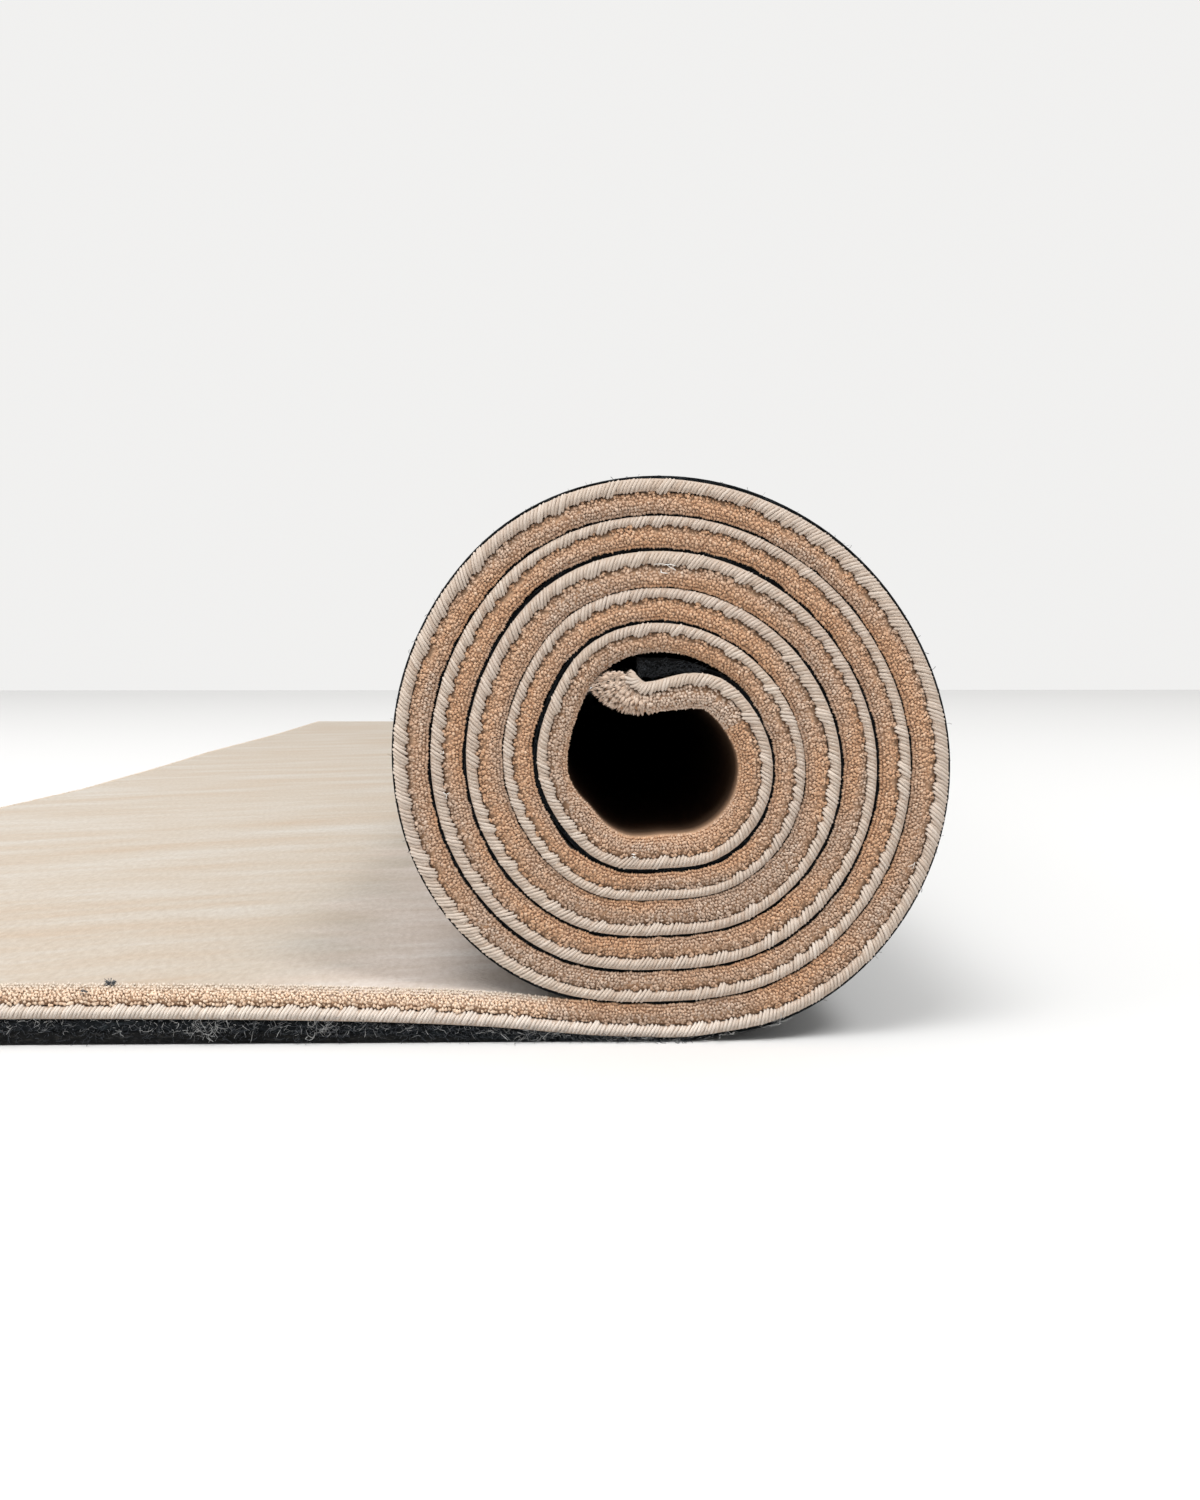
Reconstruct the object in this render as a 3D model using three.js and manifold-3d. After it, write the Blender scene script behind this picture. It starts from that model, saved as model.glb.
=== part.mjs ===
// Pile carpet, wound into a roll with its last half metre lying open on the floor.
//
// Each piece is laid out flat first, in the carpet's own coordinates, and then wound:
//   u  along the carpet, from the open end to the end inside the roll
//   v  across the carpet, along the roll's axis
//   w  up from the back of the foundation, towards the pile
// Millimetres, +Z up, +Y along the roll's axis. The origin is on the floor, under the axis, at mid-width.

import * as THREE from "three";
import { mergeVertices } from "three/addons/utils/BufferGeometryUtils.js";
import Module from "manifold-3d";

const wasm = await Module();
wasm.setup();

// Driving dimensions
const WIDTH = 1700; // over the whipped edges, which is the roll's length
const AXIS_HEIGHT = 86.8; // of the roll's axis over the floor
const WOUND_TURNS = 5.375; // from the floor up to where the inner end leaves the winding
const STATIONS_PER_TURN = 30;
const LEAST_STEP = 0.5; // between a piece's end and the next station
const PIECE_GAP = 0.3; // between two pieces that touch
const LAYER_GAP = 0.4; // between one turn's pile and the next turn's felt

const CARPET_FREE = 10.4; // foundation and pile together, where nothing squeezes them
const CORE_PILE = { from: 8.2, to: 11, overTurns: 0.5 }; // the same around the core, from the tongue on
const FOUNDATION = 4.9; // the pile stands on top of it
const PILE_INSET = 1.2; // of the pile's rim from the finished edge
const PILE_CHAMFER = 1.2; // at the top of the pile's rim
const FELT_ROLLED = 1.4; // the backing, squeezed between two turns
const FELT_FREE = 8; // the backing, where nothing squeezes it
const FELT_INSET = 2; // of the backing's rim from the finished edge
const FELT_SHORT = 6.4; // the backing stops this far before the inner end
const BINDING_DEEP = 4; // of the whipped edge, from the finished edge inwards
const BINDING_THICK = 4.6;
const BINDING_ROUND = 1.4; // at the whipped edge's outer corners
const FOUNDATION_INSET = BINDING_DEEP + PIECE_GAP;

// What the winding's radius loses in each turn, outermost first, measured straight down.
const TURN_STEPS = [11.4, 10.1, 10.8, 11.2, 9.8, 9.8];

// How far a turn stands out past its radius straight down, where its own weight flattens it.
// A row every 30 degrees, counter-clockwise seen from the front end, starting straight down.
const OUT_OF_ROUND = [
  { outerTurn: 0.0, innerTurn: 0.0 },
  { outerTurn: 3.6, innerTurn: 2.4 },
  { outerTurn: 4.9, innerTurn: 3.8 },
  { outerTurn: 5.3, innerTurn: 4.0 }, // straight right
  { outerTurn: 4.6, innerTurn: 3.6 },
  { outerTurn: 5.5, innerTurn: 4.4 },
  { outerTurn: 7.4, innerTurn: 6.4 }, // straight up
  { outerTurn: 8.7, innerTurn: 7.3 },
  { outerTurn: 6.9, innerTurn: 4.4 },
  { outerTurn: 5.8, innerTurn: 4.3 }, // straight left
  { outerTurn: 6.0, innerTurn: 2.6 },
  { outerTurn: 4.2, innerTurn: 2.4 },
];

// The open end, from its edge to the flat spot under the roll. The roll's weight squeezes its felt.
const TAIL = [
  { x: -411, felt: FELT_FREE, carpet: CARPET_FREE },
  { x: -330, felt: FELT_FREE, carpet: CARPET_FREE },
  { x: -250, felt: FELT_FREE, carpet: CARPET_FREE },
  { x: -190, felt: FELT_FREE, carpet: CARPET_FREE },
  { x: -145, felt: 7.6, carpet: CARPET_FREE },
  { x: -110, felt: 7.0, carpet: CARPET_FREE },
  { x: -82, felt: 6.2, carpet: CARPET_FREE },
  { x: -62, felt: 5.3, carpet: CARPET_FREE },
  { x: -48, felt: 4.3, carpet: 10.3 },
  { x: -35, felt: 3.1, carpet: 9.8 },
  { x: -22, felt: 2.0, carpet: 9.2 },
  { x: -8, felt: FELT_ROLLED, carpet: 8.9 },
  { x: 9, felt: FELT_ROLLED, carpet: 9.4 },
];

// The inner end, which leaves the winding, crosses the top of the core and turns up.
// Places are of the foundation's back, from the axis. The slack is the air between it and the felt.
const TONGUE = [
  { x: 16.7, z: 26.6, carpet: 10.8, felt: 1.4, slack: 0.3 },
  { x: 11.6, z: 27.6, carpet: 10.8, felt: 1.5, slack: 0.4 },
  { x: 6.6, z: 27.5, carpet: 10.8, felt: 1.8, slack: 1.2 },
  { x: 1.8, z: 26.5, carpet: 10.8, felt: 2.2, slack: 1.9 },
  { x: -2.6, z: 25.5, carpet: 10.8, felt: 2.6, slack: 2.0 },
  { x: -5.4, z: 25.1, carpet: 10.6, felt: 2.8, slack: 1.9 },
  { x: -7.4, z: 25.6, carpet: 10.8, felt: 2.8, slack: 1.9 },
  { x: -8.05, z: 26.1, carpet: 11.4, felt: 2.8, slack: 1.9 },
  { x: -8.5, z: 26.7, carpet: 11.8, felt: 2.8, slack: 1.9 },
  { x: -8.8, z: 27.5, carpet: 11.4, felt: 2.8, slack: 1.9 },
  { x: -8.9, z: 28.4, carpet: 9.2, felt: 2.8, slack: 1.9 },
  { x: -8.9, z: 29.4, carpet: 6.6, felt: 2.8, slack: 1.9 },
];

const AXIS = new THREE.Vector2(0, AXIS_HEIGHT); // in the plane across it
const UPWARDS = new THREE.Vector2(0, 1);
const BACK_RADIUS = AXIS_HEIGHT - FELT_ROLLED - PIECE_GAP; // of the outer turn, straight down
const STRAIGHT_DOWN = 270; // degrees from +X

// The smooth curve through b and c, at a share t of the way, with a and d as the outer neighbours.
function smooth(a, b, c, d, t) {
  const bend = 2 * a - 5 * b + 4 * c - d;
  const twist = 3 * (b - c) + d - a;
  return b + 0.5 * t * (c - a + t * (bend + t * twist));
}

// How far the winding stands out of round, so many turns in from the floor.
function outOfRound(turns) {
  const rows = OUT_OF_ROUND.length;
  const place = turns * rows;
  const row = Math.floor(place);
  const inwards = turns / WOUND_TURNS;
  const [a, b, c, d] = [-1, 0, 1, 2].map((step) => {
    const { outerTurn, innerTurn } = OUT_OF_ROUND[(row + step + rows) % rows];
    return outerTurn + (innerTurn - outerTurn) * inwards;
  });
  return smooth(a, b, c, d, place - row);
}

// Radius of the foundation's back, so many turns in from the floor.
function backRadius(turns) {
  const whole = Math.floor(turns);
  const lost = TURN_STEPS.slice(0, whole).reduce((sum, step) => sum + step, 0);
  return BACK_RADIUS - lost - TURN_STEPS[whole] * (turns - whole) + outOfRound(turns);
}

// The pile fills the room that the next turn leaves it, and stands free around the core.
function carpetThickness(turns) {
  const loose = turns + 1 - WOUND_TURNS;
  if (loose > 0) {
    return THREE.MathUtils.lerp(CORE_PILE.from, CORE_PILE.to, Math.min(loose / CORE_PILE.overTurns, 1));
  }
  const room = backRadius(turns) - backRadius(turns + 1);
  return room - FELT_ROLLED - PIECE_GAP - LAYER_GAP;
}

// Stations along the foundation's back, in the plane across the roll's axis.
function tailStations() {
  return TAIL.map(({ x, felt, carpet }) => ({
    place: new THREE.Vector2(x, felt + PIECE_GAP),
    pile: UPWARDS.clone(),
    felt,
    carpet,
    slack: PIECE_GAP,
  }));
}

function windingStations() {
  const stations = [];
  for (let i = 1; i <= WOUND_TURNS * STATIONS_PER_TURN; i++) {
    const turns = i / STATIONS_PER_TURN;
    const angle = THREE.MathUtils.degToRad(STRAIGHT_DOWN + 360 * turns);
    const outwards = new THREE.Vector2(Math.cos(angle), Math.sin(angle));
    stations.push({
      place: outwards.clone().multiplyScalar(backRadius(turns)).add(AXIS),
      pile: outwards.negate(),
      felt: FELT_ROLLED,
      carpet: carpetThickness(turns),
      slack: PIECE_GAP,
    });
  }
  return stations;
}

function tongueStations() {
  return TONGUE.map(({ x, z, carpet, felt, slack }) => ({
    place: new THREE.Vector2(x, z).add(AXIS),
    felt,
    carpet,
    slack,
  }));
}

// All stations, each with its distance u along the carpet and its direction towards the pile.
function wholePath() {
  const path = [...tailStations(), ...windingStations(), ...tongueStations()];
  path.forEach((station, i) => {
    const before = path[Math.max(i - 1, 0)].place;
    const after = path[Math.min(i + 1, path.length - 1)].place;
    const along = after.clone().sub(before).normalize();
    station.pile ??= new THREE.Vector2(-along.y, along.x);
    station.u = i ? path[i - 1].u + station.place.distanceTo(before) : 0;
  });
  return path;
}

const PATH = wholePath();
const LENGTH = PATH[PATH.length - 1].u;

// The station at any distance u, between two of the path's own.
function stationAt(u) {
  const next = Math.max(1, PATH.findIndex((station) => station.u >= u));
  const [a, b] = [PATH[next - 1], PATH[next]];
  const t = (u - a.u) / (b.u - a.u);
  const between = (name) => a[name] + (b[name] - a[name]) * t;
  return {
    u,
    place: a.place.clone().lerp(b.place, t),
    pile: a.pile.clone().lerp(b.pile, t).normalize(),
    felt: between("felt"),
    carpet: between("carpet"),
    slack: between("slack"),
  };
}

// The stations from one distance to another, both ends included.
function stationsBetween(start, end) {
  const inside = PATH.filter(({ u }) => u > start + LEAST_STEP && u < end - LEAST_STEP);
  return [stationAt(start), ...inside, stationAt(end)];
}

// The point (v, w) of a station, wound into place.
function wound(station, v, w) {
  const { place, pile } = station;
  return [place.x + pile.x * w, v, place.y + pile.y * w];
}

function geometryOf(positions, triangles) {
  const geometry = new THREE.BufferGeometry();
  geometry.setAttribute("position", new THREE.Float32BufferAttribute(positions.flat(), 3));
  return geometry.setIndex(triangles);
}

// A closed strip: one section of points [v, w] at each station, joined along and capped at both ends.
function strip(stations, sectionAt) {
  const sections = stations.map(sectionAt);
  const sides = sections[0].length;
  const positions = sections.flatMap((section, i) => section.map(([v, w]) => wound(stations[i], v, w)));
  const triangles = [];
  for (let i = 0; i + 1 < stations.length; i++) {
    for (let k = 0; k < sides; k++) {
      const [a, b] = [i * sides + k, i * sides + ((k + 1) % sides)];
      triangles.push(a, b, a + sides, b, b + sides, a + sides);
    }
  }
  const last = (stations.length - 1) * sides;
  const outline = sections[0].map(([v, w]) => new THREE.Vector2(v, w));
  for (const [a, b, c] of THREE.ShapeUtils.triangulateShape(outline, [])) {
    triangles.push(a, c, b, last + a, last + b, last + c);
  }
  return geometryOf(positions, triangles);
}

function solidOf(geometry) {
  const merged = mergeVertices(geometry);
  const vertProperties = merged.attributes.position.array;
  return new wasm.Manifold(new wasm.Mesh({ numProp: 3, vertProperties, triVerts: merged.index.array }));
}

function geometryOfSolid(solid) {
  const { vertProperties, triVerts } = solid.getMesh();
  const geometry = new THREE.BufferGeometry();
  geometry.setAttribute("position", new THREE.BufferAttribute(vertProperties, 3));
  return geometry.setIndex(new THREE.BufferAttribute(triVerts, 1));
}

// Foundation and pile, one piece. The pile's rim stands out over the whipped edge.
function carpetGeometry() {
  const weave = WIDTH / 2 - FOUNDATION_INSET;
  const rim = WIDTH / 2 - PILE_INSET;
  const top = rim - PILE_CHAMFER;
  const foundation = strip(stationsBetween(FOUNDATION_INSET, LENGTH - FOUNDATION_INSET), () => [
    [-weave, 0],
    [weave, 0],
    [weave, FOUNDATION + PIECE_GAP],
    [-weave, FOUNDATION + PIECE_GAP],
  ]);
  const pile = strip(stationsBetween(PILE_INSET, LENGTH - PILE_INSET), ({ carpet }) => [
    [-rim, FOUNDATION],
    [rim, FOUNDATION],
    [rim, carpet - PILE_CHAMFER],
    [top, carpet],
    [-top, carpet],
    [-rim, carpet - PILE_CHAMFER],
  ]);
  return geometryOfSolid(solidOf(foundation).add(solidOf(pile)));
}

function feltGeometry() {
  const rim = WIDTH / 2 - FELT_INSET;
  return strip(stationsBetween(FELT_INSET, LENGTH - FELT_SHORT), ({ felt, slack }) => [
    [-rim, -slack - felt],
    [rim, -slack - felt],
    [rim, -slack],
    [-rim, -slack],
  ]);
}

// The whipped edge is one closed loop round the carpet. Each point of its section is a distance in
// from the finished edge and a height, and runs once round the outline at that distance.
function bindingGeometry() {
  const section = [
    [BINDING_DEEP, 0],
    [BINDING_ROUND, 0],
    [0, BINDING_ROUND],
    [0, BINDING_THICK - BINDING_ROUND],
    [BINDING_ROUND, BINDING_THICK],
    [BINDING_DEEP, BINDING_THICK],
  ];
  const stations = stationsBetween(BINDING_DEEP, LENGTH - BINDING_DEEP).slice(1, -1);
  const loops = section.map(([inset, w]) => {
    const side = [stationAt(inset), ...stations, stationAt(LENGTH - inset)];
    const front = side.map((station) => wound(station, inset - WIDTH / 2, w));
    const back = side.map((station) => wound(station, WIDTH / 2 - inset, w));
    return [...front, ...back.reverse()];
  });
  const round = loops[0].length;
  const triangles = [];
  for (let k = 0; k < loops.length; k++) {
    const [here, next] = [k * round, ((k + 1) % loops.length) * round];
    for (let i = 0; i < round; i++) {
      const after = (i + 1) % round;
      triangles.push(here + i, here + after, next + i, next + i, here + after, next + after);
    }
  }
  return geometryOf(loops.flat(), triangles);
}

function piece(name, geometry, color, roughness) {
  const material = new THREE.MeshStandardMaterial({ color, roughness, metalness: 0 });
  const mesh = new THREE.Mesh(geometry, material);
  mesh.name = name;
  return mesh;
}

const carpetRoll = new THREE.Group();
carpetRoll.add(
  piece("carpet", carpetGeometry(), 0xc9a487, 0.95),
  piece("felt_backing", feltGeometry(), 0x2b2d30, 1),
  piece("edge_binding", bindingGeometry(), 0xd8c3b0, 0.9),
);

export default carpetRoll;
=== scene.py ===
"""A pile carpet, wound into a roll with its last 0.4 m lying open on the floor.

Every piece is laid out flat first, in the carpet's own coordinates, and then wound:
  u  along the carpet, from the open end to the end inside the roll
  v  across the carpet, along the roll's axis
  w  up from the back of the foundation, towards the pile
Sizes are in millimetres. Meshes are in metres, +Z up, and the camera looks along +Y.
"""

import math

import bpy
import numpy as np
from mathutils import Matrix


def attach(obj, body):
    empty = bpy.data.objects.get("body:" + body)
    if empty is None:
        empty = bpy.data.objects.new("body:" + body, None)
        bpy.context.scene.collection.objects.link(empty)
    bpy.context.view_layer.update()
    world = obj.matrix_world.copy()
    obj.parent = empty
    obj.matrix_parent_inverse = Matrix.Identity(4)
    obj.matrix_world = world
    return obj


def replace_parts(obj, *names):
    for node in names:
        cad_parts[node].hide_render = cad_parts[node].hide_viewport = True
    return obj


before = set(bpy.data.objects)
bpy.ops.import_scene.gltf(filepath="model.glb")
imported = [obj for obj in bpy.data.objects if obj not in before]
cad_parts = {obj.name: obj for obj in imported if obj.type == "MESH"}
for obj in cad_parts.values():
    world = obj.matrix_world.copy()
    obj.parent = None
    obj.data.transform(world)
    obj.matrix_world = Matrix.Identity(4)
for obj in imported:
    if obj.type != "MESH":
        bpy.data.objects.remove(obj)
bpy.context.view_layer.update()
MM = 0.001

# The carpet, as the solids have it
WIDTH = 1700  # over the whipped edges, which is the roll's length
AXIS_HEIGHT = 86.8  # of the roll's axis over the floor
WOUND_TURNS = 5.375  # from the floor up to where the inner end leaves the winding
STATIONS_PER_TURN = 30
PIECE_GAP = 0.3  # between two pieces that touch
LAYER_GAP = 0.4  # between one turn's pile and the next turn's felt
CARPET_FREE = 10.4  # foundation and pile together, where nothing squeezes them
FOUNDATION = 4.9  # the pile stands on top of it
PILE_INSET = 1.2  # of the pile's rim from the finished edge
FELT_ROLLED = 1.4  # the backing, squeezed between two turns
FELT_FREE = 8  # the backing, where nothing squeezes it
FELT_INSET = 2  # of the backing's rim from the finished edge
FELT_SHORT = 4.2  # the backing stops this far before the inner end
BINDING_DEEP = 4  # of the whipped edge, from the finished edge inwards
BINDING_THICK = 4.6
BACK_RADIUS = AXIS_HEIGHT - FELT_ROLLED - PIECE_GAP  # of the outer turn, straight down
STRAIGHT_DOWN = 270  # degrees from +X

# What the winding's radius loses in each turn, outermost first, measured straight down.
TURN_STEPS = (11.4, 10.1, 10.8, 11.2, 9.8, 9.8)

# How far a turn stands out past its radius straight down: outer turn, inner turn.
# A row every 30 degrees, counter-clockwise seen from the front end, starting straight down.
OUT_OF_ROUND = (
    (0.0, 0.0),
    (3.6, 2.4),
    (4.9, 3.8),
    (5.3, 4.0),
    (4.6, 3.6),
    (5.5, 4.4),
    (7.4, 6.4),
    (8.7, 7.3),
    (6.9, 4.4),
    (5.8, 4.3),
    (6.0, 2.6),
    (4.2, 2.4),
)

# The carpet around the core, where nothing squeezes its pile: turns in from the floor, thickness.
CORE_CARPET = (
    (4.375, 8.2),
    (4.5, 8.5),
    (4.64, 9.0),
    (4.73, 9.2),
    (4.78, 8.5),
    (4.83, 10.1),
    (4.92, 9.8),
    (5.0, 9.7),
    (5.25, 9.9),
    (5.375, 10.6),
)

# The open end, from its edge to the flat spot under the roll: x, felt, carpet.
TAIL = (
    (-411, FELT_FREE, CARPET_FREE),
    (-330, FELT_FREE, CARPET_FREE),
    (-250, FELT_FREE, CARPET_FREE),
    (-190, FELT_FREE, CARPET_FREE),
    (-145, 7.6, CARPET_FREE),
    (-110, 7.0, CARPET_FREE),
    (-82, 6.2, CARPET_FREE),
    (-62, 5.3, CARPET_FREE),
    (-48, 4.3, 10.3),
    (-35, 3.1, 9.8),
    (-22, 2.0, 9.2),
    (-8, FELT_ROLLED, 8.9),
    (9, FELT_ROLLED, 9.4),
)

# The inner end, which crosses the top of the core and turns up: x and z from the axis, carpet, felt,
# and the air between the foundation and the felt.
TONGUE = (
    (16.7, 26.8, 10.6, 1.4, 0.3),
    (11.6, 28.0, 10.7, 2.0, 0.3),
    (6.6, 28.0, 10.7, 3.9, 0.4),
    (1.8, 27.0, 10.3, 5.4, 0.8),
    (-2.6, 25.8, 9.6, 6.0, 1.3),
    (-5.4, 25.2, 9.4, 6.2, 1.8),
    (-7.4, 25.6, 10.3, 6.2, 1.9),
    (-8.05, 26.1, 11.4, 6.2, 1.9),
    (-8.5, 26.7, 13.2, 6.2, 1.9),
    (-8.8, 27.5, 14.6, 6.2, 1.9),
    (-8.9, 28.4, 9.8, 6.2, 1.9),
    (-8.9, 29.4, 7.2, 6.2, 1.9),
)

# How far the open end's edge is pushed back along x, which dies away along the carpet: v, push.
OPEN_EDGE = (
    (-850, -1),
    (-335, -2),
    (-215, 8),
    (0, 6),
    (182, 0),
    (509, 3),
    (850, -5),
)
OPEN_EDGE_REACH = 130

# How high the whipped edge reaches over the foundation's back: turns in from the floor, height.
# The open end comes before the first turn, the tongue after the last.
BINDING_HEIGHT = (
    (-0.42, 4.6), (-0.05, 4.2), (0.13, 3.0), (0.3, 3.4),
    (0.42, 3.9), (0.5, 3.7), (0.75, 3.0), (1.04, 3.2),
    (1.3, 3.0), (1.5, 2.6), (1.75, 3.5), (2.0, 3.5),
    (2.15, 2.8), (2.35, 2.9), (2.5, 4.0), (2.75, 3.3),
    (3.0, 3.3), (3.13, 2.8), (3.33, 3.7), (3.5, 3.0),
    (3.75, 2.6), (4.0, 3.0), (4.13, 2.5), (4.4, 2.8),
    (4.75, 3.1), (5.13, 3.3), (5.34, 3.5), (5.38, 3.7),
    (5.384, 3.6), (5.387, 2.6),
)

# How far it hangs down over the felt's rim, furthest on the outermost turn: turns, drop.
BINDING_DROP = (
    (-0.1, 0.2), (0.04, 0.4), (0.09, 1.2), (0.2, 1.4),
    (0.3, 1.3), (0.4, 1.0), (0.48, 0.7), (0.52, 1.4),
    (0.57, 1.2), (0.64, 1.5), (0.84, 1.55), (0.9, 1.2),
    (0.96, 0.6), (5.37, 0.6), (5.38, 0.3),
)

# How much of the felt shows between a turn's pile and the next turn's whipped edge: turns, breadth.
FELT_SHOWN = (
    (0.0, 0.85), (0.2, 0.9), (0.3, 0.85), (0.45, 0.9),
    (0.6, 1.05), (0.75, 1.25), (0.9, 1.4), (1.0, 1.05),
    (1.12, 1.3), (1.25, 1.4), (1.34, 1.0), (1.4, 1.35),
    (1.43, 1.9), (1.46, 1.5), (1.5, 1.15), (1.545, 1.7),
    (1.6, 1.95), (1.66, 1.4), (1.75, 1.4), (1.87, 1.3),
    (1.94, 1.35), (2.0, 1.05), (2.06, 1.2), (2.16, 1.35),
    (2.27, 1.3), (2.36, 1.2), (2.42, 0.7), (2.6, 0.6),
    (2.75, 0.7), (2.9, 0.6), (3.32, 0.6), (3.39, 0.8),
    (3.44, 0.9), (3.51, 1.2), (3.56, 1.35), (3.61, 1.85),
    (3.653, 2.15), (3.75, 1.85), (3.83, 2.2), (3.86, 2.7),
    (3.9, 1.6), (3.95, 1.5), (4.0, 1.75), (4.05, 1.75),
    (4.14, 1.6), (4.19, 1.2), (4.24, 1.05), (4.29, 1.2),
    (4.36, 0.9),
)

# Lint on the carpet: turns, v, w, fibres, their length, their tint.
LINT = (
    (-0.1813, -845.2, 10.4, 60, 1.7, 0.6),
    (-0.1880, -849.3, 8.8, 16, 0.9, 0.6),
    (2.5, -850.2, 4.2, 3, 3.8, 1.0),
    (2.503, -850.0, 6.0, 2, 2.4, 1.0),
    (0.19, -850.0, 4.6, 2, 2.4, 0.97),
    (1.741, -850.0, 3.6, 4, 1.2, 1.0),
    (1.771, -850.0, 3.8, 4, 1.2, 1.0),
    (4.95, -850.0, 4.4, 4, 1.2, 1.0),
)

# The yarn, tufts and fibres
PATH_STEP = 1.0  # between two rows of the refined path
STRAND_PITCH = 1.2  # of the whipping yarn along the edge
STRAND_RADIUS = 0.54
STRAND_LEAN = 36  # degrees, from square across the edge
GRAIN_PITCH = 0.95  # of the pile's grains along the rim
GRAIN_RISE = 0.93  # from one row of grains to the next
GRAIN_RADIUS = 0.58
SEED = 7
INNER_EDGE_SHOWN = 110  # how far in from the roll's ends its inner end is worked out strand by strand

# The camera, fitted to a frame of 1200 by 1500 pixels
CAMERA_PLACE = (-28.75, -1276.5, 121.0)
CAMERA_YAW = 1.209  # degrees, to the right
CAMERA_PITCH = 3.953  # degrees, downwards
FOCAL_PIXELS = 1392.9
FRAME_HEIGHT_PIXELS = 1500
SENSOR_HEIGHT = 36


# The path across the roll's axis

def out_of_round(turns):
    """How far the winding stands out of round, so many turns in from the floor."""
    rows = len(OUT_OF_ROUND)
    row = math.floor(turns * rows)
    t = turns * rows - row
    inwards = turns / WOUND_TURNS
    near = [OUT_OF_ROUND[(row + step) % rows] for step in (-1, 0, 1, 2)]
    a, b, c, d = (outer + (inner - outer) * inwards for outer, inner in near)
    bend = 2 * a - 5 * b + 4 * c - d
    twist = 3 * (b - c) + d - a
    return b + 0.5 * t * (c - a + t * (bend + t * twist))


def back_radius(turns):
    """Radius of the foundation's back, so many turns in from the floor."""
    whole = math.floor(turns)
    lost = sum(TURN_STEPS[:whole]) + TURN_STEPS[whole] * (turns - whole)
    return BACK_RADIUS - lost + out_of_round(turns)


def carpet_thickness(turns):
    """The pile fills the room that the next turn leaves it, and stands free around the core."""
    if turns + 1 > WOUND_TURNS:
        return np.interp(turns, *np.array(CORE_CARPET).T)
    room = back_radius(turns) - back_radius(turns + 1)
    return room - FELT_ROLLED - PIECE_GAP - LAYER_GAP


def tail_rows():
    last = TAIL[-1][0]
    return [(x, felt + PIECE_GAP, 0, 1, felt, carpet, PIECE_GAP, (x - last) * MM) for x, felt, carpet in TAIL]


def winding_rows():
    rows = []
    for station in range(1, int(WOUND_TURNS * STATIONS_PER_TURN) + 1):
        turns = station / STATIONS_PER_TURN
        angle = math.radians(STRAIGHT_DOWN + 360 * turns)
        radius = back_radius(turns)
        x, z = radius * math.cos(angle), AXIS_HEIGHT + radius * math.sin(angle)
        pile = (-math.cos(angle), -math.sin(angle))
        rows.append((x, z, *pile, FELT_ROLLED, carpet_thickness(turns), PIECE_GAP, turns))
    return rows


def tongue_rows(last_wound):
    places = np.array([last_wound[:2]] + [(x, AXIS_HEIGHT + z) for x, z, *_ in TONGUE])
    along = np.gradient(places, axis=0)
    along /= np.linalg.norm(along, axis=1, keepdims=True)
    rows = []
    for i, (_, _, carpet, felt, slack) in enumerate(TONGUE, start=1):
        rows.append((*places[i], -along[i, 1], along[i, 0], felt, carpet, slack, WOUND_TURNS + i * MM))
    return rows


def refined(rows, step):
    """The smooth curve through the rows, with a row about every step along it."""
    rows = np.array(rows, float)
    along = np.concatenate([[0], np.cumsum(np.linalg.norm(np.diff(rows[:, :2], axis=0), axis=1))])
    slope = np.gradient(rows, along, axis=0)
    fine = np.linspace(0, along[-1], int(along[-1] / step) + 1)
    left = np.clip(np.searchsorted(along, fine, side="right") - 1, 0, len(along) - 2)
    span = (along[left + 1] - along[left])[:, None]
    t = (fine - along[left])[:, None] / span
    start = (1 + 2 * t) * rows[left] + t * span * slope[left]
    end = (3 - 2 * t) * rows[left + 1] + (t - 1) * span * slope[left + 1]
    return (1 - t) ** 2 * start + t**2 * end


def whole_path():
    """Columns along the foundation's back, from the open end to the inner one."""
    wound_rows = winding_rows()
    rows = refined([*tail_rows(), *wound_rows, *tongue_rows(wound_rows[-1])], PATH_STEP)
    names = ("x", "z", "pile_x", "pile_z", "felt", "carpet", "slack", "turns")
    path = dict(zip(names, rows.T))
    size = np.hypot(path["pile_x"], path["pile_z"])
    path["pile_x"] /= size
    path["pile_z"] /= size
    steps = np.hypot(np.diff(path["x"]), np.diff(path["z"]))
    path["u"] = np.concatenate([[0], np.cumsum(steps)])
    for name in ("x", "z", "pile_x", "pile_z"):
        path["slope_" + name] = np.gradient(path[name], path["u"])
    return path


PATH = whole_path()
LENGTH = PATH["u"][-1]


def column(name, u):
    return np.interp(u, PATH["u"], PATH[name])


def by_turns(table, u):
    """A value from a table that goes by turns."""
    return np.interp(column("turns", u), *np.array(table).T)


def u_at(turns):
    return np.interp(turns, PATH["turns"], PATH["u"])


FELT_LEAVES = LENGTH - 6.6  # where the foundation turns up and the felt runs straight on
TAIL_LENGTH = u_at(0)  # up to the flat spot under the roll
TONGUE_START = LENGTH - 45  # where the felt gets thick again
CORE_START = u_at(WOUND_TURNS - 1)  # from here on the pile faces the core
FELT_SIDE = -1  # points lower than this belong to the felt


def wound(flat):
    """Flat points (u, v, w), wound into place, in metres."""
    u, v, w = np.moveaxis(flat, -1, 0)
    v_rows, pushes = np.array(OPEN_EDGE).T
    fade = np.clip(1 - u / OPEN_EDGE_REACH, 0, 1) ** 2
    bent = np.clip(u, 0, np.where(w < FELT_SIDE, FELT_LEAVES, LENGTH))
    straight_on = u - bent
    x = column("x", bent) + column("pile_x", bent) * w + column("slope_x", bent) * straight_on
    z = column("z", bent) + column("pile_z", bent) * w + column("slope_z", bent) * straight_on
    return MM * np.stack([x + np.interp(v, v_rows, pushes) * fade, v, z], axis=-1)


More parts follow.
